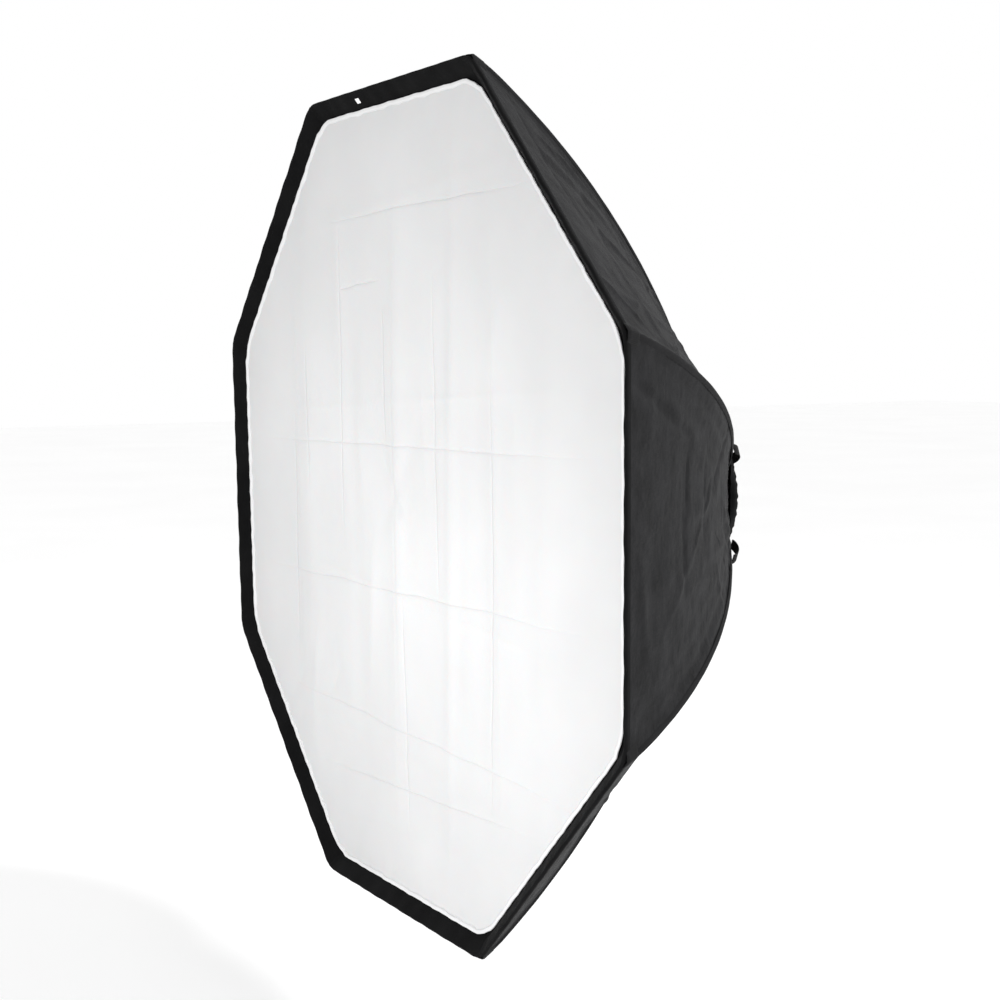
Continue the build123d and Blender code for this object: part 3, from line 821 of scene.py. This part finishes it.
def diffuser_marks():
    """Soft hanging folds and storage creases of the diffuser, in (x, z) metres."""
    draw = np.random.default_rng(7)
    marks = []
    for x, lean, width, height in HANGING_FOLDS:
        marks.append((fold_wave, (x, -0.72), (x + lean, 0.74), width, height))
    for z, tilt in LEVEL_CREASES:
        height = draw.choice([-1, 1]) * 0.0016
        marks.append((crease, (-0.62, z - tilt), (0.62, z + tilt), 0.007, height))
    for x in UPRIGHT_CREASES:
        top = x + draw.uniform(-0.02, 0.02)
        height = draw.choice([-1, 1]) * 0.0013
        marks.append((crease, (x, -0.60), (top, 0.60), 0.006, height))
    for _ in range(16):
        middle = draw.uniform(-0.55, 0.55, 2)
        turn = draw.normal(math.pi / 2, 0.5)
        half = draw.uniform(0.06, 0.20)
        reach = (half * math.cos(turn), half * math.sin(turn))
        start = (middle[0] - reach[0], middle[1] - reach[1])
        end = (middle[0] + reach[0], middle[1] + reach[1])
        width = draw.uniform(0.012, 0.028)
        height = draw.choice([-1, 1]) * draw.uniform(0.0008, 0.0018)
        marks.append((fold_wave, start, end, width, height))
    return marks


def diffuser_relief(x, z, edge_distance, around):
    """How far the diffuser stands towards the front."""
    relief = np.zeros_like(x)
    for shape, start, end, width, height in diffuser_marks():
        relief += shape(x, z, start, end, width, height)
    free = np.clip(edge_distance / 0.06, 0, 1)
    relief += 0.0030 * soft_noise(np.stack([x * 2.0, 0 * x, z * 0.6], -1), 3.0, 60)
    relief += 0.0009 * soft_noise(np.stack([x * 1.8, 0 * x, z * 0.8], -1), 9.0, 61)
    relief = relief * free
    pulls = np.sin(around * 2 * math.pi / 0.052) + 0.6 * np.sin(around * 2 * math.pi / 0.083 + 1.3)
    relief += 0.0009 * pulls * np.exp(-edge_distance / 0.030) * np.clip(edge_distance / 0.008, 0, 1)
    return relief


def edge_angles():
    """One row of the columns' angles round the diffuser, the first of them again at the end."""
    count = SIDES * SECTOR_COLUMNS
    return np.arange(count + 1)[None, :] * 2 * math.pi / count


def sector_block(rib, *grids):
    """One sector of each grid, from mid-side to mid-side about its rib."""
    columns = slice(rib * SECTOR_COLUMNS, (rib + 1) * SECTOR_COLUMNS + 1)
    return [grid[:, columns] for grid in grids]


def make_diffuser():
    angles = edge_angles()
    edge = octagon_radius(angles, DIFFUSER_APOTHEM, CORNER_ROUNDING)
    radius = edge * np.linspace(0.0006, 1.0, DIFFUSER_RINGS + 1)[:, None]
    x, z = radius * np.cos(angles), radius * np.sin(angles)
    around = angles * DIFFUSER_APOTHEM + 0 * radius
    relief = diffuser_relief(x, z, (edge - radius) * FLAT, around)
    points = np.stack([x, DIFFUSER_Y - DIFFUSER_LIFT - relief, z], -1)
    normals = wrapped_normals(points)
    normals[:2] = BACK
    flat = np.stack([x, z], -1)
    for rib in range(SIDES):
        block = sector_block(rib, points, normals, flat)
        sector = grid_mesh(f"diffuser_sector_{rib + 1}", [block], flip=True)
        finish_piece(sector, DIFFUSER_CLOTH, f"corner_{rib + 1}", ["front_diffuser"])
        fold_with_rib(sector)


def make_hem():
    """White binding sewn round the diffuser's edge, a little wavy."""
    inset, rise = np.array(HEM_OUTLINE).T[..., None]
    angles = edge_angles()
    edge = octagon_radius(angles, DIFFUSER_APOTHEM, CORNER_ROUNDING)
    wave = 0.0004 * np.sin(angles * 88) + 0.0005 * np.sin(angles * 52 + 1)
    radius = edge - inset + wave * np.linspace(0.2, 1.6, len(inset))[:, None]
    high = rise + 0.0006 * np.sin(angles * 136)
    x, z = radius * np.cos(angles), radius * np.sin(angles)
    points = np.stack([x, DIFFUSER_Y - DIFFUSER_LIFT - high, z], -1)
    flat = np.stack(np.broadcast_arrays(angles * DIFFUSER_APOTHEM, inset), -1)
    normals = wrapped_normals(points)
    for rib in range(SIDES):
        block = sector_block(rib, points, normals, flat)
        hem = grid_mesh(f"diffuser_hem_{rib + 1}", [block])
        finish_piece(hem, HEM_CLOTH, f"corner_{rib + 1}", ["front_diffuser"])
        fold_with_rib(hem)


# ---- inner baffle ----
BAFFLE_COLUMNS = 20
BAFFLE_BELLY = 0.010
STRAP_OUTER_RADIUS = 0.402   # where an elastic strap reaches its rib
STRAP_WIDTH = 0.019
STRAP_THICK = 0.0014


def make_baffle():
    shares = np.linspace(0.004, 1.0, 25)
    for rib in range(SIDES):
        angles = PANELS[rib] + np.linspace(0, STEP, BAFFLE_COLUMNS + 1)
        edge = octagon_radius(angles, BAFFLE_APOTHEM)
        radius = edge[None, :] * shares[:, None]
        x, z = radius * np.cos(angles), radius * np.sin(angles)
        belly = BAFFLE_BELLY * (1 - shares[:, None] ** 2) + 0 * x
        points = np.stack([x, BAFFLE_Y - belly, z], -1)
        block = (points, surface_normals(points), np.stack([x, z], -1))
        sector = grid_mesh(f"baffle_sector_{rib + 1}", [block])
        finish_piece(sector, DIFFUSER_CLOTH, "speed_ring", ["inner_baffle"])
        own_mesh(sector)


def make_baffle_straps():
    inner = BAFFLE_APOTHEM / FLAT + 0.001
    radius = np.linspace(inner, STRAP_OUTER_RADIUS, 9)
    for rib in range(SIDES):
        path = radius[:, None] * outward(RIBS[rib]) + np.array([0.0, BAFFLE_Y + 0.0005, 0.0])
        wide = np.tile(along_side(RIBS[rib]), (len(radius), 1))
        strap(
            f"baffle_strap_{rib + 1}", path, wide, STRAP_WIDTH, STRAP_THICK, ELASTIC,
            f"rib_{rib + 1}", ["baffle_straps"],
        )


# ---- rear cuff ----
CUFF_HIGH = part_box("rear_cuff")[1]
CUFF_COLUMNS = 384
SKIRT_RADIUS = 0.184         # the skirt laps over the shell out to here
SKIRT_LIFT = 0.0052
MOUTH_RADIUS = 0.104
MOUTH_CORD = 0.0028          # radius of the rolled edge round the drawcord
CUFF_SHOULDER_Y = -0.046
CUFF_DOME = 0.0005


def cuff_stations():
    """Profile of the cuff: radius, y, how eight-sided it is (0 to 1) and height of its pleats."""
    stations = []
    for share in np.linspace(u_at_radius(SKIRT_RADIUS), 0.0, 9):
        radius, y, angle = rib_line(share)
        lifted = (radius + SKIRT_LIFT * math.sin(angle), y + SKIRT_LIFT * math.cos(angle))
        stations.append((*lifted, 1.0, 0.0006))
    drum = CUFF_HIGH.x + 0.0015
    for share in np.linspace(0, 1, 6)[1:]:
        y = REAR_Y + 0.004 + (CUFF_SHOULDER_Y - REAR_Y - 0.004) * share
        stations.append((drum, y, max(0.0, 1 - 1.6 * share), 0.0006 + 0.0004 * share))
    for share in np.linspace(0, 1, 14)[1:]:
        radius = drum + (MOUTH_RADIUS - drum) * share
        dome = CUFF_DOME * math.sin(math.pi * share**0.8)
        y = CUFF_SHOULDER_Y + (CUFF_HIGH.y - CUFF_SHOULDER_Y) * share + dome
        stations.append((radius, y, 0.0, 0.0010 + 0.0006 * share))
    for turn in np.linspace(0, 1.5 * math.pi, 9)[1:]:
        radius = MOUTH_RADIUS - MOUTH_CORD * math.sin(turn)
        y = CUFF_HIGH.y - MOUTH_CORD * (1 - math.cos(turn))
        stations.append((radius, y, 0.0, 0.0018))
    return stations


def cuff_pleats(angles):
    """Gathers round the cuff, of slightly uneven width, from a seeded draw."""
    draw = np.random.default_rng(3)
    phase = np.cumsum(draw.normal(0, 0.05, CUFF_COLUMNS + 1))
    phase = phase - phase[-1] * np.arange(CUFF_COLUMNS + 1) / CUFF_COLUMNS
    return np.sin(angles * 46 + phase * 3) + 0.5 * np.sin(angles * 74 + phase * 5)


def make_cuff():
    angles = np.arange(CUFF_COLUMNS + 1) * 2 * math.pi / CUFF_COLUMNS
    pleats = cuff_pleats(angles)
    mean_radius = 0.13
    rows, flats = [], []
    travelled = 0.0
    last = None
    for radius, y, octagon, pleat in cuff_stations():
        flat_sided = octagon_radius(angles, radius * FLAT)
        ring = octagon * flat_sided + (1 - octagon) * radius
        high = y + pleat * pleats * 0.6
        ring = ring + pleat * pleats * 0.5
        rows.append(np.stack([ring * np.cos(angles), high, ring * np.sin(angles)], -1))
        travelled += 0 if last is None else math.dist(last, (radius, y))
        last = (radius, y)
        flats.append(np.stack([angles * mean_radius, np.full_like(angles, travelled)], -1))
    points = np.array(rows)
    cuff = grid_mesh("rear_cuff_cloth", [(points, wrapped_normals(points), np.array(flats))])
    finish_piece(cuff, CUFF_CLOTH, "speed_ring", ["rear_cuff"])


FLAP_ANGLES = [math.radians(turn) for turn in (45, 135, 225, 315)]
GRAB_LOOPS = 2               # the first flaps carry a grab loop
FLAP_REACH = 0.30            # half the angle that a flap spans
FLAP_THICK = 0.0020
GRAB_REACH = 0.33
GRAB_FOOT = 0.003
GRAB_HEIGHT = 0.008


def strap_round_cuff(name, turns, radius, width, thick):
    """Strap round the cuff at a radius for each angle; its width is a share of the flaps' own."""
    low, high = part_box("cuff_flaps")
    middle = np.array([0.0, (low.y + high.y) / 2, 0.0])
    path = [reach * outward(turn) + middle for turn, reach in zip(turns, radius)]
    wide = np.tile(BACK, (len(path), 1))
    width = width * (high.y - low.y)
    strap(name, path, wide, width, thick, WEBBING, "speed_ring", ["cuff_flaps"])


def make_flaps():
    drum = CUFF_HIGH.x + 0.0030
    along_flap = np.linspace(-1, 1, 25)
    along_loop = np.linspace(-1, 1, 33)
    for n, angle in enumerate(FLAP_ANGLES, start=1):
        turns = angle + FLAP_REACH * along_flap
        strap_round_cuff(f"cuff_flap_{n}", turns, np.full(len(turns), drum), 1.0, FLAP_THICK)
        if n <= GRAB_LOOPS:
            turns = angle + GRAB_REACH * along_loop
            rise = GRAB_FOOT + GRAB_HEIGHT * np.clip(1 - along_loop**2, 0, 1) ** 0.6
            strap_round_cuff(f"grab_loop_{n}", turns, drum + rise, 0.9, LOOP_THICK)


def make_tag():
    """Blank label sewn to the lip of the top side."""
    low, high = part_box("care_tag")
    slope = Vector((0.0, low.y - high.y, high.z - low.z))
    middle = (low + high) / 2 - Vector((0.0, 0.0012, 0.0))
    path = [middle + slope * share for share in np.linspace(-0.5, 0.5, 7)]
    wide = np.tile([1.0, 0.0, 0.0], (len(path), 1))
    width = high.x - low.x
    strap("care_tag_cloth", path, wide, width, 0.0008, TAG_CLOTH, "rib_2", ["care_tag"])


# ---- finishes of the CAD pieces ----
def paint(start, material):
    """Put one material in every slot of the CAD pieces whose names start this way."""
    for piece in [CAD[name] for name in CAD if name.startswith(start)]:
        if not piece.material_slots:
            piece.data.materials.append(material)
        for place in piece.material_slots:
            place.material = material


def paint_hardware():
    insert = metal_material("machined insert", (0.50, 0.50, 0.51), (0.62, 0.62, 0.63), 0.30, True)
    alloy = metal_material("cast alloy", (0.42, 0.42, 0.43), (0.52, 0.52, 0.53), 0.42, False)
    zinc = metal_material("zinc screws", (0.45, 0.45, 0.46), (0.60, 0.60, 0.61), 0.28, False)
    pins = metal_material("polished pins", (0.60, 0.60, 0.61), (0.70, 0.70, 0.71), 0.16, False)
    steel = metal_material("spring steel", (0.40, 0.41, 0.43), (0.52, 0.53, 0.55), 0.26, False)
    coat = coated_material(
        "black powder coat", (0.014, 0.014, 0.015), (0.022, 0.022, 0.023), 0.5, 700.0, 0.00015
    )
    plastic = coated_material(
        "black moulded plastic", (0.016, 0.016, 0.017), (0.026, 0.026, 0.027), 0.55, 1100.0, 0.00008
    )
    grip = coated_material(
        "knob grip", (0.010, 0.010, 0.011), (0.018, 0.018, 0.019), 0.62, 500.0, 0.0002
    )
    paint("mount_insert", insert)
    paint("speed_ring", alloy)
    paint("retainer_screws", zinc)
    paint("hinge_pins", pins)
    paint("retainer_ring", coat)
    paint("rib_clevises", coat)
    paint("rib_rod_", steel)
    paint("rib_arm_", plastic)
    paint("corner_pocket_", plastic)
    paint("clamp_knob_", grip)


# ---- stage, light and camera ----
FLOOR_Z = -1.02
FLOOR_SIZE = 60.0
WORLD_LIGHT = 1.0
FULL_SPREAD = math.pi        # a softlight's spread when nothing narrows it
CAMERA_FROM_RIM = (2.7492, -1.3682, 0.2828)    # from the centre of the rim; angles in radians
CAMERA_YAW = -1.0445
CAMERA_PITCH = -0.1572
CAMERA_ROLL = -0.0097
CAMERA_LENS = 60.24
CAMERA_SHIFT = 0.12


def make_floor():
    half = FLOOR_SIZE / 2
    corners = [(x * half, y * half, FLOOR_Z) for x, y in ((-1, -1), (1, -1), (1, 1), (-1, 1))]
    floor = new_piece("studio_floor", corners, [(0, 1, 2, 3)], smooth=False)
    made = Nodes("pale studio floor")
    mottle = made.noise(made.place("object"), 0.8, 2.0)
    made.colour(mottle, (0.965, 0.965, 0.965), (0.985, 0.985, 0.985))
    made.constant(Roughness=0.9)
    floor.data.materials.append(made.material)


def make_world():
    world = bpy.data.worlds.new("white studio")
    world.use_nodes = True
    back = world.node_tree.nodes["Background"]
    back.inputs["Color"].default_value = (1.0, 1.0, 1.0, 1)
    back.inputs["Strength"].default_value = WORLD_LIGHT
    bpy.context.scene.world = world
    bpy.context.scene.view_settings.view_transform = "Standard"


def add_softlight(name, place, target, size, power, spread):
    """Round area light aimed at a target."""
    light = bpy.data.lights.new(name, "AREA")
    light.shape = "DISK"
    light.size = size
    light.energy = power
    light.spread = spread
    lamp = bpy.data.objects.new(name, light)
    lamp.location = place
    aim = Vector(target) - Vector(place)
    lamp.rotation_euler = aim.to_track_quat("-Z", "Y").to_euler()
    bpy.context.scene.collection.objects.link(lamp)


def make_lights():
    add_softlight("key_light", (2.0, -3.6, -0.9), (0.0, -0.7, -0.22), 0.8, 11, math.radians(46))
    add_softlight("rim_light", (2.8, 2.0, 2.2), (0.4, -0.4, 0), 0.5, 170, FULL_SPREAD)


def make_camera():
    """Camera at the front right and slightly above, looking across the rim."""
    data = bpy.data.cameras.new("camera")
    data.lens = CAMERA_LENS
    data.shift_y = CAMERA_SHIFT
    camera = bpy.data.objects.new("camera", data)
    forward = Vector((
        math.sin(CAMERA_YAW) * math.cos(CAMERA_PITCH),
        math.cos(CAMERA_YAW) * math.cos(CAMERA_PITCH),
        math.sin(CAMERA_PITCH),
    ))
    level = Vector((math.cos(CAMERA_YAW), -math.sin(CAMERA_YAW), 0.0))
    upward = level.cross(forward)
    right = level * math.cos(CAMERA_ROLL) + upward * math.sin(CAMERA_ROLL)
    up = right.cross(forward)
    turn = Matrix((right, up, -forward)).transposed().to_4x4()
    place = Vector(CAMERA_FROM_RIM) + Vector((0.0, RIM_Y, 0.0))
    camera.matrix_world = Matrix.Translation(place) @ turn
    bpy.context.scene.collection.objects.link(camera)
    bpy.context.scene.camera = camera


make_camera()
make_world()
make_lights()
make_floor()
make_shell()
make_lining()
make_lip()
make_bindings()
make_hanging_loops()
make_diffuser()
make_hem()
make_baffle()
make_baffle_straps()
make_cuff()
make_flaps()
make_tag()
paint_hardware()
